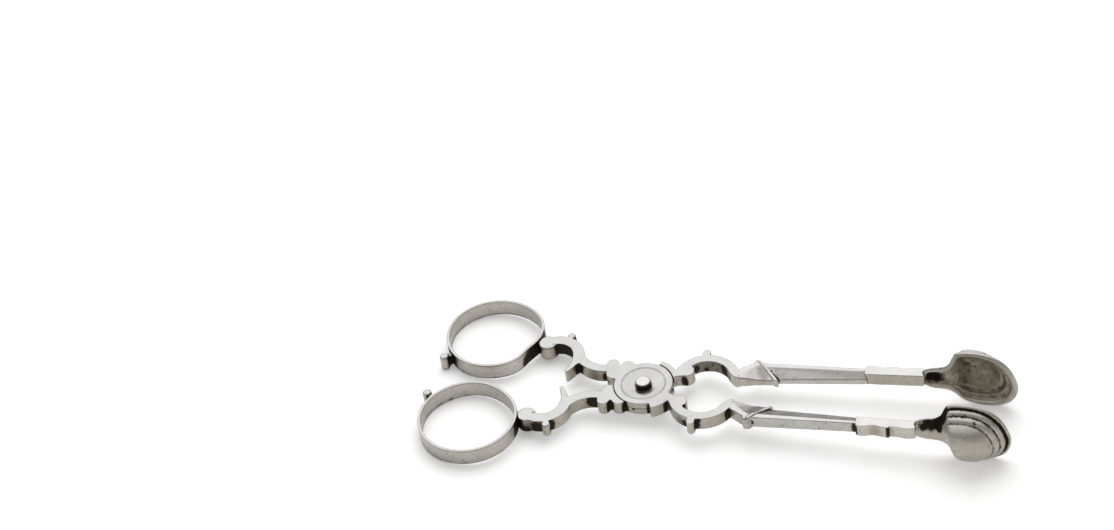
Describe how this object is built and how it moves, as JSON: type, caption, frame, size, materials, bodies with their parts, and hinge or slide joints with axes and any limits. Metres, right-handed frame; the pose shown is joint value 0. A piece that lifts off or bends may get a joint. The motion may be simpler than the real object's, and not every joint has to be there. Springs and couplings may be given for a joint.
{
  "type": "sugar nippers",
  "caption": "Scissor-action silver sugar nippers with round finger rings, openwork C-scroll arms, a riveted disc pivot and hollow stepped scoop bowls.",
  "frame": {"origin": "centre of the pivot, half way through the thickness of the scrollwork", "axes": "+X from the pivot towards the bowls, +Y across the arms, +Z along the rivet towards its button head"},
  "size_m": [0.1249, 0.0472, 0.0146],
  "materials": {
    "silver": "polished cast silver with dark tarnish in the hollows",
    "ring_silver": "polished silver strip, finely scratched",
    "bowl_silver": "dull pitted cast silver, darker inside"
  },
  "bodies": {
    "upper_arm": {"upper_finger_ring": "ring_silver", "upper_ring_bud": "silver", "upper_handle_scroll": "silver", "upper_pivot_disc": "silver", "upper_jaw_scroll": "silver", "upper_calyx": "silver", "upper_shank": "silver", "upper_socket": "silver", "upper_bowl": "bowl_silver", "pivot_rivet": "silver"},
    "lower_arm": {"lower_finger_ring": "ring_silver", "lower_ring_bud": "silver", "lower_handle_scroll": "silver", "lower_pivot_disc": "silver", "lower_jaw_scroll": "silver", "lower_calyx": "silver", "lower_shank": "silver", "lower_socket": "silver", "lower_bowl": "bowl_silver"}
  },
  "joints": [
    {"name": "pivot", "type": "hinge", "parent": "upper_arm", "child": "lower_arm", "pos_m": [0, 0, 0], "axis": [0, 0, 1], "range_deg": [-7.1, 34]}
  ]
}
